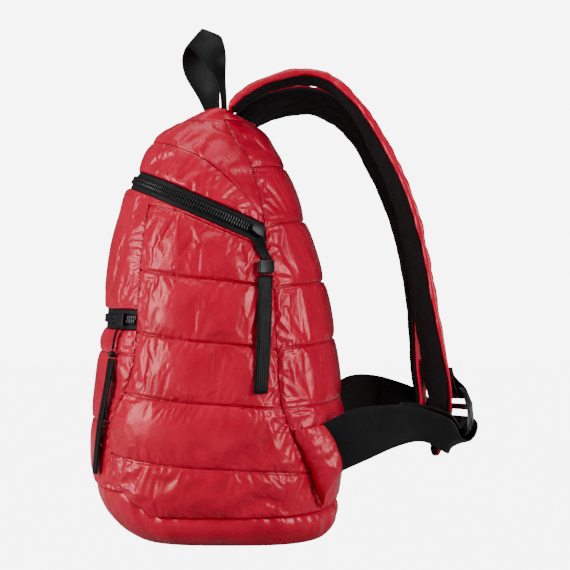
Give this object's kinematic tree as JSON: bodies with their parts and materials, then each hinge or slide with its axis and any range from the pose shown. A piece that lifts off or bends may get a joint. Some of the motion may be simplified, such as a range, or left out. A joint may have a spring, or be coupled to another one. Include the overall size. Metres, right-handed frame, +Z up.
{
  "type": "quilted puffer backpack",
  "caption": "Red quilted puffer backpack with padded shoulder straps, webbing grab handle, chunky main zip and front pocket zip.",
  "frame": {"origin": "middle of the base's flat underside", "axes": "+Z up, +X to the wearer's right, +Y towards the wearer's back, so the front of the bag faces -Y"},
  "size_m": [0.2944, 0.3661, 0.4933],
  "materials": {
    "shell_nylon": "glossy",
    "zip_tape": "matte",
    "zip_teeth": "satin",
    "webbing": "matte",
    "spacer_mesh": "matte",
    "moulded_plastic": "satin",
    "dark_metal": "satin"
  },
  "bodies": {
    "root": {"side_panel_right": "shell_nylon", "side_panel_left": "shell_nylon", "front_panel": "shell_nylon", "pocket_panel": "shell_nylon", "back_panel": "shell_nylon", "hood_panel": "shell_nylon", "base_panel": "shell_nylon", "wing_right": "shell_nylon", "wing_left": "shell_nylon", "strap_shell_right": "shell_nylon", "strap_shell_left": "shell_nylon", "main_zip_tape_upper": "zip_tape", "main_zip_tape_lower": "zip_tape", "pocket_zip_tape_upper": "zip_tape", "pocket_zip_tape_lower": "zip_tape", "main_zip_chain": "zip_teeth", "pocket_zip_chain": "zip_teeth", "grab_handle": "webbing", "lower_webbing_right": "webbing", "lower_webbing_left": "webbing", "buckle_anchor_right": "webbing", "buckle_anchor_left": "webbing", "main_pull_loop": "webbing", "main_pull_ribbon": "webbing", "pocket_pull_cord": "webbing", "pocket_pull_ribbon": "webbing", "strap_lining_right": "spacer_mesh", "strap_lining_left": "spacer_mesh", "buckle_right": "moulded_plastic", "buckle_left": "moulded_plastic", "main_pull_fold": "moulded_plastic", "pocket_pull_knot": "moulded_plastic", "main_zip_slider": "dark_metal", "pocket_zip_slider": "dark_metal"}
  },
  "joints": []
}
